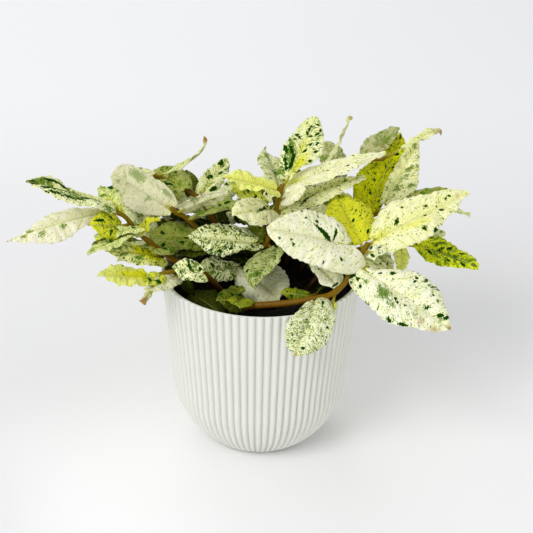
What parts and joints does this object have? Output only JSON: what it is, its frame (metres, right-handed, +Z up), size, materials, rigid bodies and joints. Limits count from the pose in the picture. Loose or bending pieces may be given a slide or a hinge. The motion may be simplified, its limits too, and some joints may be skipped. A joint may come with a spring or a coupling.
{
  "type": "potted pellionia",
  "caption": "Variegated foliage plant whose leafy stems lean out over the rim of a round, ribbed, white cover pot filled with soil.",
  "frame": {"origin": "centre of the pot's flat base, on the surface it stands on", "axes": "+Z up along the pot's axis, -Y towards the side that the picture shows, +X to that side's right"},
  "size_m": [0.3084, 0.2166, 0.2307],
  "materials": {
    "pot_white": "matt",
    "soil": "rough",
    "leaf_cream": "satin",
    "leaf_yellow": "satin",
    "leaf_grey": "satin"
  },
  "bodies": {
    "root": {"pot": "pot_white", "potting_soil": "soil", "stem_front_right": "leaf_cream", "stem_centre": "leaf_cream", "stem_left": "leaf_cream", "stem_behind_2": "leaf_cream", "stem_behind_4": "leaf_cream", "stem_left_low": "leaf_yellow", "stem_right": "leaf_yellow", "stem_back_right": "leaf_yellow", "shoot_front": "leaf_yellow", "stem_left_centre": "leaf_grey", "stem_back_left": "leaf_grey", "stem_back_centre": "leaf_grey", "shoot_left": "leaf_grey", "shoot_right": "leaf_grey", "stem_behind_1": "leaf_grey", "stem_behind_3": "leaf_grey"}
  },
  "joints": []
}
